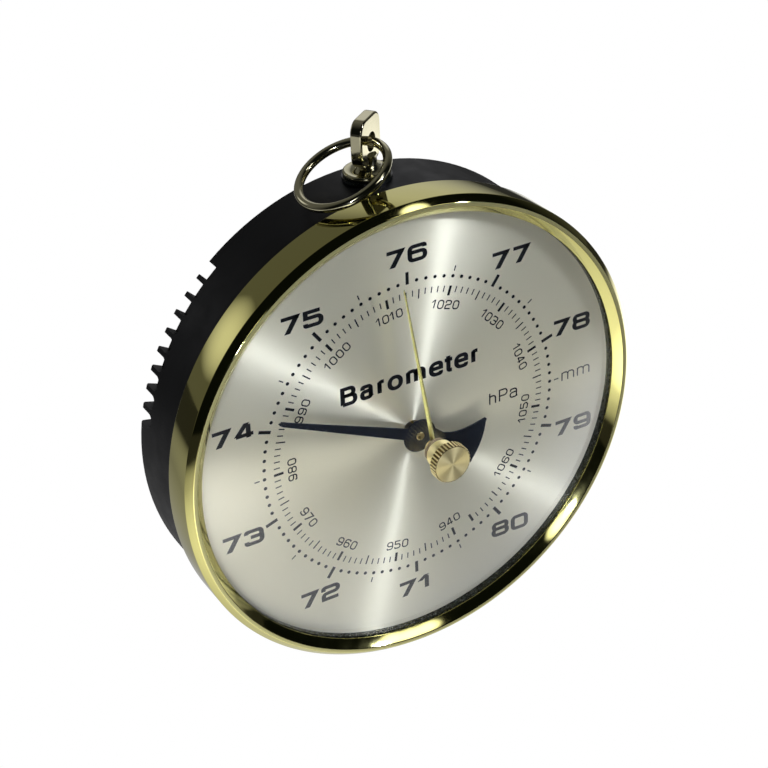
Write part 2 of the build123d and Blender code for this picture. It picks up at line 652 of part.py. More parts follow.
# ---------------------------------------------------------------- hanger
swing = radians(HANGER_TURN)
eye_across = (cos(swing), sin(swing), 0)
eye_normal = (sin(swing), -cos(swing), 0)
stud_section = Plane(origin=(0, -HANGER_D, 0), x_dir=(1, 0, 0), z_dir=(0, -1, 0))
with BuildPart() as hanger_eye:
    eye_plane = Plane(origin=(0, -HANGER_D, EYE_HOLE_Z), x_dir=eye_across, z_dir=eye_normal)
    with BuildSketch(eye_plane.offset(-EYE_T / 2)):
        with Locations((0, (EYE_TOP + EYE_BOTTOM) / 2 - EYE_HOLE_Z)):
            RectangleRounded(EYE_W, EYE_TOP - EYE_BOTTOM, 3.2)
    extrude(amount=EYE_T)
    fillet(faces().sort_by(SortBy.AREA)[-2:].edges(), EYE_EDGE_R)
    with BuildSketch(stud_section):
        with BuildLine():
            Polyline((0, STUD_END_Z), (STUD_R - 0.4, STUD_END_Z), (STUD_R, STUD_END_Z + 0.4),
                     (STUD_R, FLANGE_Z), (FLANGE_R - 0.6, FLANGE_Z))
            ThreePointArc((FLANGE_R - 0.6, FLANGE_Z), (FLANGE_R, FLANGE_Z + 0.6),
                          (FLANGE_R - 0.5, FLANGE_Z + 1.3))
            ThreePointArc((FLANGE_R - 0.5, FLANGE_Z + 1.3), (3.4, FLANGE_Z + 1.8),
                          (2.6, FLANGE_Z + 2.7))
            Polyline((2.6, FLANGE_Z + 2.7), (2.6, NECK_TOP_Z), (0, NECK_TOP_Z), (0, STUD_END_Z))
        make_face()
    revolve(axis=Axis(origin=(0, -HANGER_D, 0), direction=(0, 0, 1)))
    with BuildSketch(eye_plane.offset(-EYE_T)):
        Circle(EYE_HOLE_R)
    extrude(amount=2 * EYE_T, mode=Mode.SUBTRACT)
finish(hanger_eye, "hanger_eye")

with BuildPart() as hanger_washer:
    with BuildSketch(Plane.XY.offset(CASE_R + 0.05)):
        with Locations((0, -HANGER_D)):
            Circle(6.3)
            Circle(STUD_R + RUNNING, mode=Mode.SUBTRACT)
    extrude(amount=FLANGE_Z - CASE_R - 0.15)
finish(hanger_washer, "hanger_washer")

with BuildPart() as hanger_nut:
    with BuildSketch(Plane.XY.offset(NUT_Z)):
        with Locations((0, -HANGER_D)):
            RegularPolygon(4.0, 6, major_radius=False)
            Circle(STUD_R + 0.02, mode=Mode.SUBTRACT)
    extrude(amount=NUT_T)
finish(hanger_nut, "hanger_nut")

with BuildPart(Plane(origin=RING_CENTRE, z_dir=RING_NORMAL)) as hanging_ring:
    Torus(RING_R, RING_WIRE_R)
finish(hanging_ring, "hanging_ring")

# ---------------------------------------------------------------- adjusting screw
with BuildPart() as adjusting_screw:
    pegs([(0, BRIDGE_Z)], 1.5, 4.7, 12.2)
    pegs([(0, BRIDGE_Z)], 2.7, 2.9, 4.7)
    slots_in([(0, BRIDGE_Z)], 7, 0.7, 2.8, 3.8)
finish(adjusting_screw, "adjusting_screw")
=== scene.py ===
import json
import math

import bmesh
import bpy
from mathutils import Matrix, Vector


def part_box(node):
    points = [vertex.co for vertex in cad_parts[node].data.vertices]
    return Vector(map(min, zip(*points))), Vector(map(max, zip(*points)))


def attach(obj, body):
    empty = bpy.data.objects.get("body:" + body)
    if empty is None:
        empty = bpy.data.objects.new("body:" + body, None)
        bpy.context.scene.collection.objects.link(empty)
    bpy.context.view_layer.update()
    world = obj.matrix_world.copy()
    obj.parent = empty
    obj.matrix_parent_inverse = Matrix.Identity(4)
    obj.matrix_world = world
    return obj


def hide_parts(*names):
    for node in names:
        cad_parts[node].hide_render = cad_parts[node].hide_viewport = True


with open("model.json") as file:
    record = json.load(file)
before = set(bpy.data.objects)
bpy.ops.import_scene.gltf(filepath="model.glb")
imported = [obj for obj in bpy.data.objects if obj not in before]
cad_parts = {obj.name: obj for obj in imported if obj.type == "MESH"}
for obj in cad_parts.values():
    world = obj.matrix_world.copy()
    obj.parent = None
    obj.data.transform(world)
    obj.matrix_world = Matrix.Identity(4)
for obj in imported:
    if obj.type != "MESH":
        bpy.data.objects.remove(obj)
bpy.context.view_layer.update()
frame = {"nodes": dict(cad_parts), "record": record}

# Lengths below are millimetres in the row frame: +Z is the top of the dial, +Y goes into the wall,
# and d is a distance out from the wall, so y = -d.  MM turns them into Blender's metres.
MM = 0.001


def front_of(node):
    """Distance from the wall of a node's front face, in millimetres."""
    return -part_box(node)[0].y / MM


def back_of(node):
    return -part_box(node)[1].y / MM


def radius_of(node):
    """Radius of a node that is round about the dial's axis."""
    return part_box(node)[1].x / MM


DIAL_D = front_of("dial")
INK_T = 0.02
SCALE_R = 42.0           # ring of scale dots
BEZEL_R = radius_of("bezel")
BEZEL_REAR = back_of("bezel")
CREST_D = front_of("bezel")
CREST_OUT, CREST_IN = 63.45, 62.35
CREST_R = (CREST_OUT + CREST_IN) / 2
CREST_HALF = 0.45        # half width of the crest's satin band, whose lighter tone is a painted highlight
LIP_R = 60.3
GLASS_SPHERE = 189.0
GLASS_T = 1.6
GLASS_R = radius_of("glass")
GLASS_HOLE_R = 1.45
GLASS_APEX = front_of("glass") + GLASS_SPHERE - math.sqrt(GLASS_SPHERE**2 - GLASS_HOLE_R**2)
POINTER_D = back_of("pointer")
POINTER_TOP = front_of("pointer")
POINTER_ANGLE = 293.5    # clockwise from the top
SET_ANGLE = -5.3
KNOB_R = 5.2
KNOB_BACK = back_of("set_knob")
KNOB_FACE = front_of("set_knob")
FLUTE_R = 0.36
PAINTED_FLUTE_SHADE_R = 4.94          # middle of the band of painted shade down in the flutes
PAINTED_FLUTE_SHADE_HALF = 0.085
WASHER_R = 3.3


def at(x, d, z):
    return Vector((x * MM, -d * MM, z * MM))


def clock(radius, angle):
    """Point (x, z) at a radius and an angle clockwise from the top, in degrees."""
    a = math.radians(angle)
    return radius * math.sin(a), radius * math.cos(a)


# ---------------------------------------------------------------- mesh helpers
ARC_SHARE = 0.499        # the most of an edge that the arc at one of its ends takes up
MITRE_LIMIT = 0.6        # keeps a sharp turn of the pen from growing a spike


def make_object(name, vertices, faces, smooth_angle=None):
    mesh = bpy.data.meshes.new(name)
    mesh.from_pydata(vertices, [], faces)
    bm = bmesh.new()
    bm.from_mesh(mesh)
    bmesh.ops.remove_doubles(bm, verts=bm.verts, dist=1e-7)
    bmesh.ops.recalc_face_normals(bm, faces=bm.faces)
    bm.to_mesh(mesh)
    bm.free()
    if smooth_angle:
        mesh.shade_smooth()
        mesh.set_sharp_from_angle(angle=math.radians(smooth_angle))
    obj = bpy.data.objects.new(name, mesh)
    bpy.context.scene.collection.objects.link(obj)
    return obj


def rounded(points, closed=True, steps=5):
    """Replaces each corner (x, y, radius) by an arc; a corner given as (x, y) stays sharp."""
    out = []
    count = len(points)
    for i, point in enumerate(points):
        here = Vector(point[:2])
        radius = point[2] if len(point) > 2 else 0
        if radius == 0 or (not closed and i in (0, count - 1)):
            out.append(here)
            continue
        before = Vector(points[i - 1][:2]) - here
        after = Vector(points[(i + 1) % count][:2]) - here
        half = before.angle(after) / 2
        cut = min(radius / math.tan(half), ARC_SHARE * before.length, ARC_SHARE * after.length)
        radius = cut * math.tan(half)
        middle = here + (before.normalized() + after.normalized()).normalized() * radius / math.sin(half)
        start = here + before.normalized() * cut - middle
        turn = start.angle_signed(here + after.normalized() * cut - middle)
        for k in range(steps + 1):
            out.append(middle + Matrix.Rotation(-turn * k / steps, 2) @ start)
    return out


def lathe(name, profile, segments, smooth_angle=30, limit=None):
    """Solid turned about the dial's axis from a closed profile of (radius, d) points.

    Where limit is given, limit(angle) caps the radius at that angle.
    """
    count = len(profile)
    vertices = []
    for s in range(segments):
        angle = 360 * s / segments
        for r, d in profile:
            x, z = clock(min(r, limit(angle)) if limit else r, angle)
            vertices.append(at(x, d, z))
    faces = []
    for s in range(segments):
        a, b = s * count, (s + 1) % segments * count
        for i in range(count):
            j = (i + 1) % count
            faces.append((a + i, a + j, b + j, b + i))
    return make_object(name, vertices, faces, smooth_angle)


def prism(outline, d_from, d_to, vertices, faces):
    """Adds the closed solid over a flat outline of (x, z) to the lists."""
    base = len(vertices)
    count = len(outline)
    vertices += [at(x, d_from, z) for x, z in outline] + [at(x, d_to, z) for x, z in outline]
    faces.append(tuple(base + i for i in range(count)))
    faces.append(tuple(base + count + i for i in reversed(range(count))))
    for i in range(count):
        j = (i + 1) % count
        faces.append((base + i, base + count + i, base + count + j, base + j))


def ribbon(line, width_x, width_z, closed, place, vertices, faces):
    """Adds a flat pen stroke of ink along a line, with a pen of different width each way."""
    count = len(line)
    sides = []
    for i, point in enumerate(line):
        before = line[i - 1] if closed or i else point
        after = line[(i + 1) % count] if closed or i < count - 1 else point
        way_in = (point - before).normalized() if (point - before).length else (after - point).normalized()
        way_out = (after - point).normalized() if (after - point).length else way_in
        along = (way_in + way_out).normalized()
        stretch = 1 / max(MITRE_LIMIT, along.dot(way_in))
        half = Vector((-along.y * width_x / 2, along.x * width_z / 2)) * stretch
        sides.append((place(point + half), place(point - half)))
    base = len(vertices)
    for left, right in sides:
        for d in (DIAL_D, DIAL_D + INK_T):
            vertices += [at(left[0], d, left[1]), at(right[0], d, right[1])]
    spans = count if closed else count - 1
    for i in range(spans):
        a, b = base + 4 * i, base + 4 * ((i + 1) % count)
        faces += [(a + 2, a + 3, b + 3, b + 2), (a + 1, a, b, b + 1),
                  (a, a + 2, b + 2, b), (a + 3, a + 1, b + 1, b + 3)]
    if not closed:
        for a in (base, base + 4 * (count - 1)):
            faces.append((a, a + 1, a + 3, a + 2))


def bevelled(obj, width, segments):
    """Rounds the edges sharper than 25 degrees; width is in millimetres."""
    modifier = obj.modifiers.new("edge", "BEVEL")
    modifier.width = width * MM
    modifier.segments = segments
    modifier.limit_method = "ANGLE"
    modifier.angle_limit = math.radians(25)
    modifier.harden_normals = True
    return obj


# ---------------------------------------------------------------- material helpers
def new_material(name):
    material = bpy.data.materials.new(name)
    material.use_nodes = True
    tree = material.node_tree
    return material, tree, tree.nodes["Principled BSDF"]


def node(tree, kind, **settings):
    """Adds a node; each setting is one of its inputs or else one of its properties."""
    made = tree.nodes.new(kind)
    for key, value in settings.items():
        if key in made.inputs:
            made.inputs[key].default_value = value
        else:
            setattr(made, key, value)
    return made


def noise(tree, vector, scale, detail=3.0, roughness=0.5):
    made = node(tree, "ShaderNodeTexNoise", Scale=scale, Detail=detail, Roughness=roughness)
    tree.links.new(vector, made.inputs["Vector"])
    return made.outputs["Fac"]


def span(tree, value, low, high, from_low=0.0, from_high=1.0):
    """Maps a 0..1 pattern onto low..high."""
    made = node(tree, "ShaderNodeMapRange")
    for name, number in (("From Min", from_low), ("From Max", from_high), ("To Min", low), ("To Max", high)):
        made.inputs[name].default_value = number
    tree.links.new(value, made.inputs["Value"])
    return made.outputs["Result"]


def blend(tree, factor, first, second):
    """Mixes two colours by a factor."""
    made = node(tree, "ShaderNodeMix", data_type="RGBA")
    made.inputs[6].default_value = (*first, 1)
    made.inputs[7].default_value = (*second, 1)
    tree.links.new(factor, made.inputs[0])
    return made.outputs[2]


def bump(tree, height, strength, distance):
    made = node(tree, "ShaderNodeBump", Strength=strength, Distance=distance)
    tree.links.new(height, made.inputs["Height"])
    return made.outputs["Normal"]


def place_vector(tree):
    """Place on the object, in metres."""
    return node(tree, "ShaderNodeTexCoord").outputs["Object"]


def from_axis(tree):
    """Distance from the dial's axis, and a vector that only changes with it."""
    flat = node(tree, "ShaderNodeVectorMath", operation="MULTIPLY")
    flat.inputs[1].default_value = (1, 0, 1)
    tree.links.new(place_vector(tree), flat.inputs[0])
    length = node(tree, "ShaderNodeVectorMath", operation="LENGTH")
    tree.links.new(flat.outputs[0], length.inputs[0])
    rings = node(tree, "ShaderNodeCombineXYZ")
    tree.links.new(length.outputs["Value"], rings.inputs[0])
    return length.outputs["Value"], rings.outputs[0]


def turned_grain(tree, shader, anisotropy):
    """Draws reflections out across tool marks that run round the dial's axis."""
    shader.inputs["Anisotropic"].default_value = anisotropy
    shader.inputs["Anisotropic Rotation"].default_value = 0.25
    tangent = node(tree, "ShaderNodeTangent", direction_type="RADIAL", axis="Y")
    tree.links.new(tangent.outputs[0], shader.inputs["Tangent"])


# ---------------------------------------------------------------- materials
def plain_metal(name, light, dark, low, high, scale=900.0, depth=0.00002):
    """Metal with clouded tone, uneven polish and a fine grain."""
    material, tree, shader = new_material(name)
    shader.inputs["Metallic"].default_value = 1.0
    where = place_vector(tree)
    cloud = noise(tree, where, scale / 6)
    grain = noise(tree, where, scale * 4, 6.0)
    tree.links.new(blend(tree, span(tree, cloud, 0, 1, 0.35, 0.65), dark, light), shader.inputs["Base Color"])
    tree.links.new(span(tree, noise(tree, where, scale), low, high, 0.3, 0.7), shader.inputs["Roughness"])
    tree.links.new(bump(tree, grain, 0.15, depth), shader.inputs["Normal"])
    return material


def banded_brass(name, light, dark, polish, band, satin, painted_band_tone, anisotropy=0.0):
    """Turned brass, with another roughness in a band of radii (middle, half width) and a tone there that is
    painted light: a painted highlight on the bezel's crest, painted shade in the knob's flutes.
    """
    material, tree, shader = new_material(name)
    shader.inputs["Metallic"].default_value = 1.0
    turned_grain(tree, shader, anisotropy)
    radius, rings = from_axis(tree)
    marks = noise(tree, rings, 2600.0, 4.0, 0.7)
    in_band = node(tree, "ShaderNodeMath", operation="COMPARE")
    tree.links.new(radius, in_band.inputs[0])
    in_band.inputs[1].default_value = band[0] * MM
    in_band.inputs[2].default_value = band[1] * MM
    gloss = node(tree, "ShaderNodeMix")
    tree.links.new(in_band.outputs[0], gloss.inputs[0])
    cloud = noise(tree, place_vector(tree), 300.0)
    tree.links.new(span(tree, cloud, *polish, 0.3, 0.7), gloss.inputs[2])
    gloss.inputs[3].default_value = satin
    tree.links.new(gloss.outputs[0], shader.inputs["Roughness"])
    # The band's tone is painted light, not a colour that the brass itself has.
    tone = node(tree, "ShaderNodeMix", data_type="RGBA")
    tree.links.new(in_band.outputs[0], tone.inputs[0])
    tree.links.new(blend(tree, span(tree, marks, 0, 1, 0.3, 0.7), dark, light), tone.inputs[6])
    tone.inputs[7].default_value = (*painted_band_tone, 1)
    tree.links.new(tone.outputs[2], shader.inputs["Base Color"])
    tree.links.new(bump(tree, marks, 0.2, 0.000003), shader.inputs["Normal"])
    return material


def case_plastic():
    """Black moulded plastic with a fine grain."""
    material, tree, shader = new_material("case_plastic")
    where = place_vector(tree)
    fine = noise(tree, where, 4200.0, 2.0)
    cloud = noise(tree, where, 60.0, 4.0)
    tree.links.new(blend(tree, span(tree, cloud, 0, 1, 0.35, 0.65), (0.0025, 0.0026, 0.003),
                         (0.005, 0.005, 0.0058)), shader.inputs["Base Color"])
    shader.inputs["Specular IOR Level"].default_value = 0.2
    tree.links.new(span(tree, noise(tree, where, 180.0), 0.40, 0.50, 0.3, 0.7), shader.inputs["Roughness"])
    tree.links.new(bump(tree, fine, 0.25, 0.00003), shader.inputs["Normal"])
    return material


def dial_metal():
    """Spun and lacquered aluminium."""
    material, tree, shader = new_material("dial_spun_metal")
    shader.inputs["Metallic"].default_value = 0.8
    turned_grain(tree, shader, 1.0)
    rings = from_axis(tree)[1]
    marks = noise(tree, rings, 1500.0, 3.0, 0.6)
    broad = noise(tree, rings, 420.0, 3.0)
    tree.links.new(blend(tree, marks, (0.90, 0.84, 0.62), (0.96, 0.895, 0.675)), shader.inputs["Base Color"])
    tree.links.new(span(tree, broad, 0.33, 0.35, 0.3, 0.7), shader.inputs["Roughness"])
    return material


def clear_glass():
    """Polished glass that lets lamps through to the dial."""
    material, tree, shader = new_material("clear_glass")
    shader.inputs["Base Color"].default_value = (0.985, 0.995, 0.985, 1)
    shader.inputs["Transmission Weight"].default_value = 1.0
    shader.inputs["IOR"].default_value = 1.46
    film = noise(tree, place_vector(tree), 120.0, 4.0)
    tree.links.new(span(tree, film, 0.0, 0.008, 0.45, 0.75), shader.inputs["Roughness"])
    path = node(tree, "ShaderNodeLightPath")
    open_way = node(tree, "ShaderNodeBsdfTransparent", Color=(0.95, 0.96, 0.95, 1))
    mix = node(tree, "ShaderNodeMixShader")
    tree.links.new(path.outputs["Is Shadow Ray"], mix.inputs[0])
    tree.links.new(shader.outputs[0], mix.inputs[1])
    tree.links.new(open_way.outputs[0], mix.inputs[2])
    tree.links.new(mix.outputs[0], tree.nodes["Material Output"].inputs["Surface"])
    return material


def printing_ink():
    material, tree, shader = new_material("printing_ink")
    where = place_vector(tree)
    cloud = noise(tree, where, 900.0, 4.0)
    tree.links.new(blend(tree, cloud, (0.0015, 0.0015, 0.002), (0.004, 0.004, 0.005)),
                   shader.inputs["Base Color"])
    shader.inputs["Specular IOR Level"].default_value = 0.15
    tree.links.new(span(tree, noise(tree, where, 2500.0), 0.5, 0.65), shader.inputs["Roughness"])
    tree.links.new(bump(tree, noise(tree, where, 6000.0), 0.1, 0.00001), shader.inputs["Normal"])
    return material


def pointer_paint():
    material, tree, shader = new_material("pointer_paint")
    where = place_vector(tree)
    tree.links.new(blend(tree, noise(tree, where, 700.0), (0.004, 0.005, 0.008), (0.008, 0.010, 0.014)),
                   shader.inputs["Base Color"])
    shader.inputs["Specular IOR Level"].default_value = 0.3
    tree.links.new(span(tree, noise(tree, where, 1500.0), 0.30, 0.42), shader.inputs["Roughness"])
    tree.links.new(bump(tree, noise(tree, where, 5000.0), 0.15, 0.00001), shader.inputs["Normal"])
    return material


def satin_plastic(name, dark, light, low, high):
    """Dull plastic or fibre with clouded tone."""
    material, tree, shader = new_material(name)
    where = place_vector(tree)
    tree.links.new(blend(tree, noise(tree, where, 300.0), dark, light), shader.inputs["Base Color"])
    tree.links.new(span(tree, noise(tree, where, 1500.0), low, high), shader.inputs["Roughness"])
    tree.links.new(bump(tree, noise(tree, where, 4500.0), 0.2, 0.00002), shader.inputs["Normal"])
    return material


MATERIALS = {
    "case": case_plastic(),
    # The bezel's crest band is satin brass, and its lighter tone is a painted highlight along the crest.
    "bezel_brass": banded_brass(
        "bezel_brass", (0.60, 0.56, 0.215), (0.57, 0.53, 0.195), (0.04, 0.08),
        (CREST_R, CREST_HALF), 0.45, (0.95, 0.90, 0.42)),
    "crystal": clear_glass(),
    "spacer": satin_plastic("spacer_black", (0.004, 0.005, 0.004), (0.010, 0.012, 0.010), 0.22, 0.32),
    "dial_metal": dial_metal(),
    # The knob's dark tone at the radii of the flutes' bottoms is painted shade in the grooves.
    "knob_brass": banded_brass(
        "knob_brass", (1.0, 0.88, 0.47), (0.94, 0.81, 0.41), (0.55, 0.61),
        (PAINTED_FLUTE_SHADE_R, PAINTED_FLUTE_SHADE_HALF), 0.32, (0.20, 0.13, 0.045), 0.75),
    "pointer_black": pointer_paint(),
    "hand_brass": plain_metal("hand_brass", (0.60, 0.57, 0.24), (0.52, 0.49, 0.19), 0.14, 0.22),
    "hanger_nickel": plain_metal("hanger_nickel", (0.66, 0.62, 0.42), (0.56, 0.53, 0.35), 0.06, 0.12, 400.0),
    "movement_brass": plain_metal("movement_brass", (0.75, 0.60, 0.28), (0.62, 0.47, 0.20), 0.22, 0.34),
    "movement_steel": plain_metal("movement_steel", (0.60, 0.60, 0.60), (0.45, 0.45, 0.46), 0.25, 0.38),
    "spring_steel": plain_metal("spring_steel", (0.10, 0.13, 0.22), (0.16, 0.17, 0.24), 0.20, 0.32),
    "capsule_alloy": plain_metal("capsule_alloy", (0.62, 0.60, 0.54), (0.52, 0.50, 0.45), 0.25, 0.36),
    "bridge_casting": plain_metal("bridge_casting", (0.26, 0.26, 0.26), (0.16, 0.16, 0.165), 0.5, 0.7,
                                  700.0, 0.00008),
    "screw_steel": plain_metal("screw_steel", (0.62, 0.62, 0.62), (0.48, 0.48, 0.49), 0.2, 0.32),
    "fibre": satin_plastic("fibre_washer", (0.16, 0.11, 0.06), (0.24, 0.18, 0.10), 0.6, 0.8),
}
INK = printing_ink()


def finish_piece(obj, body, slot, *nodes, material=None):
    """Paints a piece, ties it to its body and hides the CAD nodes it stands for."""
    obj.data.materials.clear()
    obj.data.materials.append(material or MATERIALS[slot])
    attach(obj, body)
    if nodes:
        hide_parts(*nodes)
    return obj


for part in frame["record"]["subparts"]:
    cad = frame["nodes"][part["node"]]
    for place in cad.material_slots:
        place.link = "OBJECT"
        place.material = MATERIALS[part["material_slot"]]

# ---------------------------------------------------------------- bezel
SKIRT_R = 63.45
SHOULDER_D = 29.25
LIP_FRONT, LIP_BACK = 29.0, 28.8
SEAT_R = 61.8            # the glass lies within this radius
SEAT_FRONT, SEAT_BACK = 28.38, 24.6
bezel_profile = rounded([
    (SKIRT_R, BEZEL_REAR), (BEZEL_R, BEZEL_REAR, 0.3), (BEZEL_R, SHOULDER_D, 0.35),
    (CREST_OUT, CREST_D, 0.45), (CREST_IN, CREST_D, 0.45), (LIP_R, LIP_FRONT, 0.12), (LIP_R, LIP_BACK, 0.05),
    (SEAT_R, SEAT_FRONT), (SEAT_R, SEAT_BACK), (SKIRT_R, SEAT_BACK),
])
finish_piece(lathe("bezel_ring", bezel_profile, 360), "case", "bezel_brass", "bezel")

# ---------------------------------------------------------------- domed glass
def glass_d(radius, inner):
    """Distance from the wall of the glass's outer or inner face at a radius."""
    sphere = GLASS_SPHERE - (GLASS_T if inner else 0)
    return GLASS_APEX - GLASS_SPHERE + math.sqrt(sphere**2 - radius**2)


def glass_stations(inner, steps=40):
    radii = [GLASS_HOLE_R + (GLASS_R - GLASS_HOLE_R) * i / steps for i in range(steps + 1)]
    return [(r, glass_d(r, inner)) for r in radii]


glass_profile = glass_stations(False) + glass_stations(True)[::-1]
finish_piece(lathe("domed_glass", glass_profile, 256), "case", "crystal", "glass")

# ---------------------------------------------------------------- figures drawn with a pen
# Digits fill a box one unit each way.  A stroke is (closed, corners) and a corner may have a radius;
# a pair of points is a slanting bar.
ONE_STEM = 0.62
DIGITS = {
    "0": [(True, [(0, 0, 1), (0, 1, 1), (1, 1, 1), (1, 0, 1)])],
    "1": [(False, [(ONE_STEM, 0), (ONE_STEM, 1)]), ((0.12, 0.70), (ONE_STEM, 1))],
    "2": [(False, [(0, 0.70), (0, 1, 1), (1, 1, 1), (1, 0.52, 1), (0, 0.46, 1), (0, 0), (1, 0)])],
    "3": [(False, [(0, 0.80), (0, 1, 1), (0.98, 1, 1), (0.98, 0.52, 0.4), (0.28, 0.52)]),
          (False, [(0.9, 0.52), (1, 0.52, 0.6), (1, 0, 1), (0, 0, 1), (0, 0.22)])],
    "4": [(False, [(0.74, 0), (0.74, 1)]), (False, [(-0.06, 0.24), (1.04, 0.24)]), ((0.0, 0.24), (0.66, 1))],
    "5": [(False, [(0.95, 1), (0.02, 1), (0.02, 0.58), (1, 0.58, 1), (1, 0, 1), (0, 0, 1), (0, 0.20)])],
    "6": [(False, [(0.98, 0.80), (0.98, 1, 1), (0, 1, 1), (0, 0, 1), (1, 0, 1), (1, 0.58, 1), (0, 0.58)])],
    "7": [(False, [(-0.06, 1), (1.06, 1)]), ((0.28, 0), (0.99, 1))],
    "8": [(True, [(0.03, 0.53, 0.8), (0.03, 1, 0.8), (0.97, 1, 0.8), (0.97, 0.53, 0.8)]),
          (True, [(0, 0, 1), (0, 0.53, 1), (1, 0.53, 1), (1, 0, 1)])],
    "9": [(False, [(0.02, 0.20), (0.02, 0, 1), (1, 0, 1), (1, 1, 1), (0, 1, 1), (0, 0.42, 1), (1, 0.42)])],
}

# Letters stand on a line; their pen's middle is 9 high in capitals and 6.6 in small letters.  Each is
# (width, room on its left, room on its right, strokes): STEM beside an upright, BOWL beside a curve.
STEM, BOWL, OPEN = 1.2, 0.85, 0.0
LETTERS = {
    "B": (7.9, STEM, BOWL, [(False, [(0, 0), (0, 9), (7.0, 9, 2.2), (7.0, 4.9, 2.2), (0, 4.9)]),
                            (False, [(0, 4.9), (7.9, 4.9, 2.4), (7.9, 0, 2.4), (0, 0)])]),
    "P": (6.6, STEM, BOWL, [(False, [(0, 0), (0, 9), (6.6, 9, 2.4), (6.6, 4.2, 2.4), (0, 4.2)])]),
    "a": (6.0, BOWL, STEM, [(False, [(0.3, 4.9), (0.3, 6.6, 1.7), (5.5, 6.6, 1.7), (5.5, 0.9), (6.1, 0)]),
                            (False, [(5.5, 4.0), (0, 3.6, 1.8), (0, 0, 1.8), (5.5, 0, 2.2), (5.5, 2.6)])]),
    "r": (2.9, STEM, OPEN, [(False, [(0, 0), (0, 6.6)]), (False, [(0, 3.0), (0, 6.5, 2.4), (2.9, 6.5)])]),
    "o": (7.2, BOWL, BOWL, [(True, [(0, 0, 3.3), (0, 6.6, 3.3), (7.2, 6.6, 3.3), (7.2, 0, 3.3)])]),
    "m": (10.2, STEM, STEM, [(False, [(0, 0), (0, 6.6)]),
                             (False, [(0, 3.2), (0, 6.6, 2.1), (5.1, 6.6, 2.1), (5.1, 0)]),
                             (False, [(5.1, 3.2), (5.1, 6.6, 2.1), (10.2, 6.6, 2.1), (10.2, 0)])]),
    "e": (6.6, BOWL, BOWL, [(False, [(0.2, 3.5), (6.6, 3.5), (6.6, 6.6, 3.0), (0, 6.6, 3.1), (0, 0, 3.1),
                                     (6.5, 0, 2.2), (6.5, 1.6)])]),
    "t": (2.9, OPEN, OPEN, [(False, [(1.3, 8.6), (1.3, 0, 1.3), (3.6, 0)]),
                            (False, [(-1.1, 6.4), (3.9, 6.4)])]),
    "h": (5.0, STEM, STEM, [(False, [(0, 0), (0, 9)]),
                            (False, [(0, 3.2), (0, 6.5, 2.2), (5.0, 6.5, 2.2), (5.0, 0)])]),
}
SLANT_HALF = 0.62        # half width of a slanting bar, as a share of the pen's


class Print:
    """Ink marks gathered into one thin mesh on the face of the dial."""

    def __init__(self):
        self.vertices = []
        self.faces = []

    def figure(self, strokes, place, size, corner, pen):
        """Draws one character; size scales its corners to millimetres, pen is (across, up)."""
        for stroke in strokes:
            if isinstance(stroke[0], bool):
                closed, corners = stroke
                line = [(p[0] * size[0], p[1] * size[1], p[2] * corner if len(p) > 2 else 0) for p in corners]
                ribbon(rounded(line, closed), pen[0], pen[1], closed, place, self.vertices, self.faces)
            else:
                (x0, z0), (x1, z1) = [(x * size[0], z * size[1]) for x, z in stroke]
                low, high = z0 - (pen[1] / 2 if z0 == 0 else 0), z1 + pen[1] / 2
                half = pen[0] * SLANT_HALF
                corners = [(x0 - half, low), (x1 - half, high), (x1 + half, high), (x0 + half, low)]
                prism([place(Vector(c)) for c in corners], DIAL_D, DIAL_D + INK_T, self.vertices, self.faces)

    def number(self, text, centre, angle, size, gap, corner, pen, narrow=1.0):
        """A number centred on a point and turned clockwise by angle; narrow is the share a 1 takes."""
        widths = [size[0] * (narrow if c == "1" else 1) for c in text]
        step = pen[0] + gap
        x = -(sum(widths) + step * (len(text) - 1)) / 2
        for c, width in zip(text, widths):
            shift = x - (size[0] - width) * ONE_STEM
            self.figure(DIGITS[c], placed(centre, angle, shift, -size[1] / 2), size, corner, pen)
            x += width + step

    def word(self, text, centre, scale, pen):
        """A word centred on a point at the foot of its letters; scale is (across, up)."""
        starts, x = [], 0
        for c in text:
            width, left, right, _ = LETTERS[c]
            starts.append(x + left * scale[0] + pen[0] / 2)
            x += (left + width + right) * scale[0] + pen[0]
        for c, start in zip(text, starts):
            self.figure(LETTERS[c][3], placed(centre, 0, start - x / 2, pen[1] / 2), scale, scale[0], pen)

    def tick(self, angle, r_from, r_to, width):
        """A bar that points at the dial's centre."""
        side = Vector(clock(width / 2, angle + 90))
        low, high = Vector(clock(r_from, angle)), Vector(clock(r_to, angle))
        prism([low - side, high - side, high + side, low + side], DIAL_D, DIAL_D + INK_T,
              self.vertices, self.faces)

    def dot(self, angle, radius, size):
        centre = Vector(clock(radius, angle))
        prism([centre + Vector(clock(size, 15 * k)) for k in range(24)], DIAL_D, DIAL_D + INK_T,
              self.vertices, self.faces)

    def finish(self, name):
        obj = make_object(name, self.vertices, self.faces)
        return finish_piece(obj, "case", "pointer_black", material=INK)


def placed(centre, angle, x, z):
    """A function that carries a character's own point to its place on the dial."""
    a = math.radians(angle)
    right, up = Vector((math.cos(a), -math.sin(a))), Vector((math.sin(a), math.cos(a)))
    origin = Vector(centre)
    return lambda p: origin + right * (p[0] + x) + up * (p[1] + z)


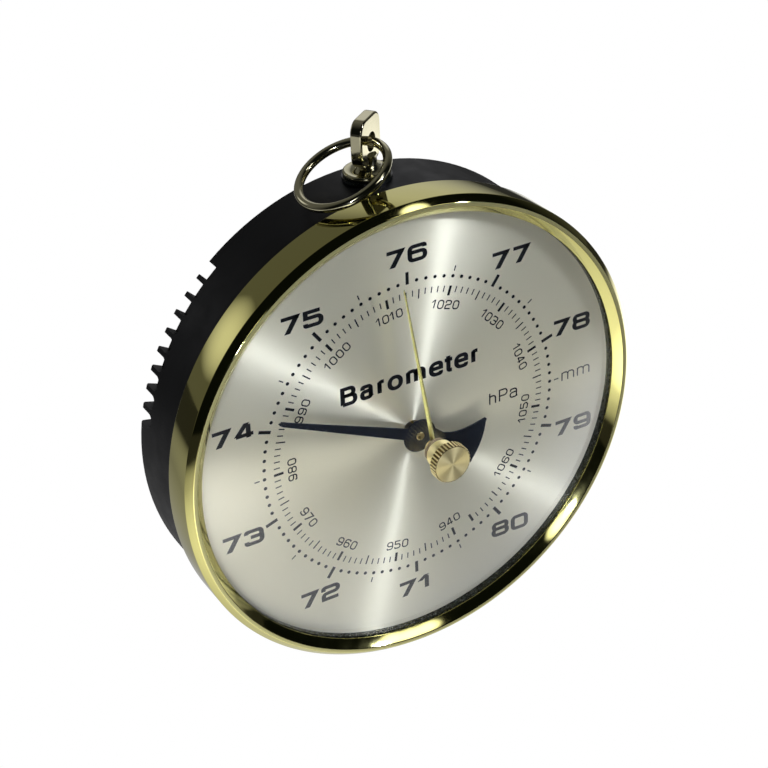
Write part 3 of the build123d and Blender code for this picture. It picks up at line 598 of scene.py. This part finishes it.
# ---------------------------------------------------------------- dial: centimetres of mercury
CM_STEP = 36.0
CM_TICK = (41.4, 44.8, 0.9)          # from radius, to radius, width
HALF_CM_TICK = (43.35, 44.75, 0.32)
DOT_R = 0.48
FIGURES = {
    76: (0, 49.3), 77: (30.0, 40.3), 78: (48.6, 15.2), 79: (49.5, -15.7), 80: (29.4, -41.0),
    71: (-0.5, -49.1), 72: (-28.9, -40.8), 73: (-49.1, -15.4), 74: (-49.3, 15.4), 75: (-29.1, 40.3),
}
figures = Print()
for value, centre in FIGURES.items():
    figures.number(str(value), centre, 0, (4.25, 3.66), 0.62, 0.95, (1.28, 1.0), narrow=0.72)
figures.finish("dial_figures")

centimetres = Print()
for tenth in range(100):
    angle = tenth * CM_STEP / 10
    if tenth % 10 == 0:
        centimetres.tick(angle, *CM_TICK)
    else:
        centimetres.dot(angle, SCALE_R, DOT_R)
    if tenth % 10 == 5:
        centimetres.tick(angle, *HALF_CM_TICK)
centimetres.finish("scale_centimetres")

# ---------------------------------------------------------------- dial: hectopascals
HPA_STEP = CM_STEP / 13.332          # 1 cm of mercury is 13.332 hPa
HPA_TOP = 1013.25                    # and 76 cm, at the top, is 1013.25 hPa
TEN_TICK = (36.75, 39.4, 0.72)
FIVE_TICK = (36.75, 39.35, 0.36)
ONE_TICK = (37.7, 39.35, 0.30)
HPA_NUMBER_R = 34.3
READ_FROM_INSIDE = (970, 960, 950, 940, 1060, 1050)
hectopascals = Print()
for value in range(940, 1071):
    angle = (value - HPA_TOP) * HPA_STEP
    if value % 10 == 0:
        hectopascals.tick(angle, *TEN_TICK)
    elif value % 5 == 0:
        hectopascals.tick(angle, *FIVE_TICK)
    else:
        hectopascals.tick(angle, *ONE_TICK)
    if value % 10 == 0 and value < 1070:
        flip = 180 if value in READ_FROM_INSIDE else 0
        hectopascals.number(str(value), clock(HPA_NUMBER_R, angle), angle + flip, (1.55, 2.15), 0.42, 0.62,
                            (0.34, 0.34), narrow=0.55)
hectopascals.finish("scale_hectopascals")

# ---------------------------------------------------------------- dial: words
words = Print()
words.word("Barometer", (0, 13.0), (0.443, 0.49), (1.24, 1.05))
words.word("hPa", (27.6, -1.1), (0.35, 0.37), (0.40, 0.40))
words.word("mm", (50.2, -1.35), (0.36, 0.36), (0.36, 0.36))
words.finish("dial_words")


# ---------------------------------------------------------------- pointer and set hand
def flat_hand(name, outline, angle, d_from, d_to):
    """A flat hand cut from sheet; the outline is (along, across) before it is turned to its angle."""
    forward, side = Vector(clock(1, angle)), Vector(clock(1, angle + 90))
    vertices, faces = [], []
    prism([forward * a + side * b for a, b in outline], d_from, d_to, vertices, faces)
    return make_object(name, vertices, faces)


def pointer_outline():
    """Tapered needle, round hub and a counterweight like a spade."""
    hub_r, root_half, hub_end, tip, tail_r, spread = 4.6, 1.6, 148, 42.5, 19.8, 19.0
    half = [(tip, 0), (tip - 0.5, 0.35), (tip - 1.5, 0.62)]
    meet = math.degrees(math.asin(root_half / hub_r))
    half += [(hub_r * math.cos(math.radians(a)), hub_r * math.sin(math.radians(a)))
             for a in [meet + (hub_end - meet) * k / 20 for k in range(21)]]
    corner = Vector((-tail_r * math.cos(math.radians(spread)), tail_r * math.sin(math.radians(spread))))
    half += [(-7.0, 1.5), (-9.0, 1.62), (-11.0, 2.1), (-13.0, 3.0), (-15.4, 4.4), (-17.4, 5.85)]
    half += [(corner.x + 0.35, corner.y + 0.12), (corner.x - 0.35, corner.y - 0.15)]
    half += [(-tail_r * math.cos(math.radians(a)), tail_r * math.sin(math.radians(a)))
             for a in (16, 12, 8, 4)]
    half.append((-tail_r, 0))
    return half + [(a, -b) for a, b in reversed(half[1:-1])]


pointer = flat_hand("pointer_hand", pointer_outline(), POINTER_ANGLE, POINTER_D, POINTER_TOP)
finish_piece(bevelled(pointer, 0.1, 3), "pointer_arbor", "pointer_black", "pointer")


def folded_needle():
    """The set hand: a slim strip folded along its middle, falling from the boss to its tip."""
    root_d, tip_d, tip, thick, fold = 36.1, 30.9, 43.5, 0.22, 0.55
    forward, side = Vector(clock(1, SET_ANGLE)), Vector(clock(1, SET_ANGLE + 90))
    vertices, faces = [], []
    stations = [(2.35, 0.62), (12, 0.55), (24, 0.42), (36, 0.28), (tip - 0.8, 0.2), (tip + 0.3, 0.03)]
    for reach, half in stations:
        d = root_d + (tip_d - root_d) * reach / tip
        ridge = d + half * fold
        for across, height in ((-half, d), (0, ridge), (half, d), (half, d - thick), (0, ridge - thick),
                               (-half, d - thick)):
            point = forward * reach + side * across
            vertices.append(at(point.x, height, point.y))
    for s in range(len(stations) - 1):
        for i in range(6):
            j = (i + 1) % 6
            faces.append((6 * s + i, 6 * s + j, 6 * s + 6 + j, 6 * s + 6 + i))
    faces.append(tuple(range(6)))
    faces.append(tuple(range(len(vertices) - 6, len(vertices))))
    return make_object("set_hand_needle", vertices, faces)


finish_piece(bevelled(folded_needle(), 0.03, 2), "set_hand_group", "hand_brass", "set_hand")


# ---------------------------------------------------------------- set knob and its washer
KNOB_FLUTES = 34
FLUTE_OUT = 0.05         # the flutes' centres lie this far outside the knob's edge
COLLAR_R = 3.7
KNOB_HEAD_D = KNOB_FACE - 2.7


def fluted(angle):
    """Radius of the knob's knurled edge at an angle."""
    pitch = 360 / KNOB_FLUTES
    off = math.radians(abs((angle + pitch / 2) % pitch - pitch / 2)) * KNOB_R
    return KNOB_R + FLUTE_OUT - math.sqrt(FLUTE_R**2 - off**2) if off < FLUTE_R - 0.004 else KNOB_R


knob_profile = rounded([
    (0, KNOB_BACK), (COLLAR_R, KNOB_BACK, 0.2), (COLLAR_R, KNOB_HEAD_D), (KNOB_R, KNOB_HEAD_D, 0.2),
    (KNOB_R, KNOB_FACE - 0.08, 0.22), (4.4, KNOB_FACE - 0.05), (2.0, KNOB_FACE - 0.02), (0, KNOB_FACE),
], steps=3)
knob = lathe("set_knob_turned", knob_profile, KNOB_FLUTES * 12, 40, fluted)
finish_piece(knob, "set_hand_group", "knob_brass", "set_knob")

WASHER_BEVEL = 0.15
washer_back, washer_front = back_of("outer_washer"), front_of("outer_washer")
washer_profile = [
    (GLASS_HOLE_R, washer_back), (WASHER_R, washer_back), (WASHER_R, washer_front - WASHER_BEVEL),
    (WASHER_R - WASHER_BEVEL, washer_front), (GLASS_HOLE_R, washer_front),
]
finish_piece(lathe("outer_washer_turned", washer_profile, 72), "case", "knob_brass", "outer_washer")


# ---------------------------------------------------------------- camera
def look(name, position, forward, up):
    """Camera at a point, given the way it looks and its up, both as directions."""
    forward, up = Vector(forward).normalized(), Vector(up)
    right = forward.cross(up).normalized()
    up = right.cross(forward)
    data = bpy.data.cameras.new(name)
    obj = bpy.data.objects.new(name, data)
    basis = Matrix((right, up, -forward)).transposed().to_4x4()
    obj.matrix_world = Matrix.Translation(position) @ basis
    bpy.context.scene.collection.objects.link(obj)
    return obj


CAMERA_PLACE = (-0.20663, -0.38339, 0.26399)
CAMERA_FORWARD = (0.41596, 0.74701, -0.51860)
CAMERA_UP = (0.28751, 0.43300, 0.85431)
camera = look("camera", CAMERA_PLACE, CAMERA_FORWARD, CAMERA_UP)
camera.data.lens = 90.44
camera.data.sensor_width = 36
camera.data.clip_start, camera.data.clip_end = 0.01, 20
bpy.context.scene.camera = camera


# ---------------------------------------------------------------- studio
FLOOR_Z = -0.35
FLOOR_HALF = 4.0
PALE = 1.0
LAMP_DISTANCE = 1.2
LAMP_SIZE = 0.06
LAMP_POWER = 4.4
DAYLIGHT = (0.88, 0.94, 1.18)

# Light of the floor as reflections see it.  A shade is (x, y, inner radius, outer radius, share inside,
# share outside), and they multiply; a glow is (x, y, inner radius, outer radius, strength), and is added.
FLOOR_SHADES = [
    (0.1, 0.0, 0.5, 1.45, 1.0, 0.03),
    (0.42, -0.85, 0.5, 0.92, 0.0, 1.0),
    (-0.15, 0.6, 0.25, 0.7, 0.36, 1.0),
]
FLOOR_GLOWS = [
    (0.80, 0.50, 0.1, 0.5, 1.0),
    (-0.34, -0.45, 0.15, 0.5, 0.6),
    (-0.30, -0.54, 0.08, 0.3, 1.8),
    (-0.85, -0.80, 0.2, 0.6, 0.5),
    (0.66, -0.02, 0.12, 0.42, 1.3),
    (-0.08, -0.33, 0.05, 0.3, 0.3),
]
# Soft lights of the room: (azimuth, elevation, inner angle, outer angle, strength), as toward() has them.
SKY_LIGHTS = [
    (-146, 16, 2, 13, 0.95),
    (148, 20, 6, 24, 0.66),
    (49, 53, 2, 6, 3.5),
    (45, 35, 2, 6, 3.6),
    (38, 38, 2, 6, 3.6),
    (31, 41, 2, 6, 3.6),
    (-33, 24, 2, 7, 4.0),
]


def lamp(name, direction):
    """Softbox lamp aimed at the dial's centre from a direction."""
    data = bpy.data.lights.new(name, "AREA")
    data.shape = "SQUARE"
    data.size = LAMP_SIZE
    data.energy = LAMP_POWER
    data.color = DAYLIGHT
    obj = bpy.data.objects.new(name, data)
    obj.location = direction * LAMP_DISTANCE
    obj.rotation_mode = "QUATERNION"
    obj.rotation_quaternion = direction.to_track_quat("Z", "Y")
    bpy.context.scene.collection.objects.link(obj)
    return obj


def toward(azimuth, elevation):
    """Direction from the dial's centre; azimuth 0 is straight out of the dial and 90 is to its right."""
    a, e = math.radians(azimuth), math.radians(elevation)
    return Vector((math.sin(a) * math.cos(e), -math.cos(a) * math.cos(e), math.sin(e)))


def joined(tree, operation, first, second):
    """Adds or multiplies two values."""
    made = node(tree, "ShaderNodeMath", operation=operation)
    tree.links.new(first, made.inputs[0])
    tree.links.new(second, made.inputs[1])
    return made.outputs[0]


def near(tree, where, centre, r_inner, r_outer, low, high):
    """Goes from low within r_inner of a point to high beyond r_outer."""
    apart = node(tree, "ShaderNodeVectorMath", operation="DISTANCE")
    tree.links.new(where, apart.inputs[0])
    apart.inputs[1].default_value = centre
    return span(tree, apart.outputs["Value"], low, high, r_inner, r_outer)


def floor():
    """Pale floor that the camera sees lit evenly; reflections see its light fall away from the object."""
    corners = [(x * FLOOR_HALF, y * FLOOR_HALF, FLOOR_Z) for x, y in ((-1, -1), (1, -1), (1, 1), (-1, 1))]
    obj = make_object("floor", corners, [(0, 1, 2, 3)])
    material, tree, shader = new_material("floor")
    where = place_vector(tree)
    shades = [near(tree, where, (x, y, FLOOR_Z), *falloff) for x, y, *falloff in FLOOR_SHADES]
    glow = shades[0]
    for shade in shades[1:]:
        glow = joined(tree, "MULTIPLY", glow, shade)
    for x, y, r_inner, r_outer, strength in FLOOR_GLOWS:
        patch = near(tree, where, (x, y, FLOOR_Z), r_inner, r_outer, strength, 0.0)
        glow = joined(tree, "ADD", glow, patch)
    seen = node(tree, "ShaderNodeMix")
    tree.links.new(node(tree, "ShaderNodeLightPath").outputs["Is Camera Ray"], seen.inputs[0])
    tree.links.new(glow, seen.inputs[2])
    seen.inputs[3].default_value = PALE
    tree.links.new(seen.outputs[0], shader.inputs["Emission Strength"])
    shader.inputs["Emission Color"].default_value = (1, 1, 1, 1)
    shader.inputs["Base Color"].default_value = (0, 0, 0, 1)
    shader.inputs["Specular IOR Level"].default_value = 0.0
    shader.inputs["Roughness"].default_value = 1.0
    obj.data.materials.append(material)


def soft_light(sky, under, direction, inner, outer, strength):
    """Puts a round light on the sky, full within inner degrees of a direction and none past outer."""
    dot = node(sky, "ShaderNodeVectorMath", operation="DOT_PRODUCT")
    sky.links.new(node(sky, "ShaderNodeTexCoord").outputs["Generated"], dot.inputs[0])
    dot.inputs[1].default_value = direction
    edges = math.cos(math.radians(outer)), math.cos(math.radians(inner))
    share = span(sky, dot.outputs["Value"], 0, 1, *edges)
    made = node(sky, "ShaderNodeMix", data_type="RGBA")
    sky.links.new(share, made.inputs[0])
    sky.links.new(under, made.inputs[6])
    made.inputs[7].default_value = (strength, strength, strength * 1.03, 1)
    return made.outputs[2]


def studio_world():
    """Dark room in front of the dial and dim behind it, with soft lights; the camera sees it pale."""
    world = bpy.data.worlds.new("studio")
    world.use_nodes = True
    sky = world.node_tree
    side = node(sky, "ShaderNodeSeparateXYZ")
    sky.links.new(node(sky, "ShaderNodeTexCoord").outputs["Generated"], side.inputs[0])
    depth = span(sky, side.outputs["Y"], 0, 1, -0.1, 0.5)
    room = blend(sky, depth, (0.004, 0.005, 0.004), (0.13, 0.13, 0.12))
    for azimuth, elevation, inner, outer, strength in SKY_LIGHTS:
        room = soft_light(sky, room, toward(azimuth, elevation), inner, outer, strength)
    pale = node(sky, "ShaderNodeMix", data_type="RGBA")
    pale.inputs[7].default_value = (PALE, PALE, PALE, 1)
    sky.links.new(room, pale.inputs[6])
    sky.links.new(node(sky, "ShaderNodeLightPath").outputs["Is Camera Ray"], pale.inputs[0])
    sky.links.new(pale.outputs[2], sky.nodes["Background"].inputs["Color"])
    return world


floor()
bpy.context.scene.world = studio_world()
bpy.context.scene.view_settings.view_transform = "Standard"
lamp("softbox_left", toward(-34.5, 16.5))
lamp("softbox_right", toward(45.5, 27))
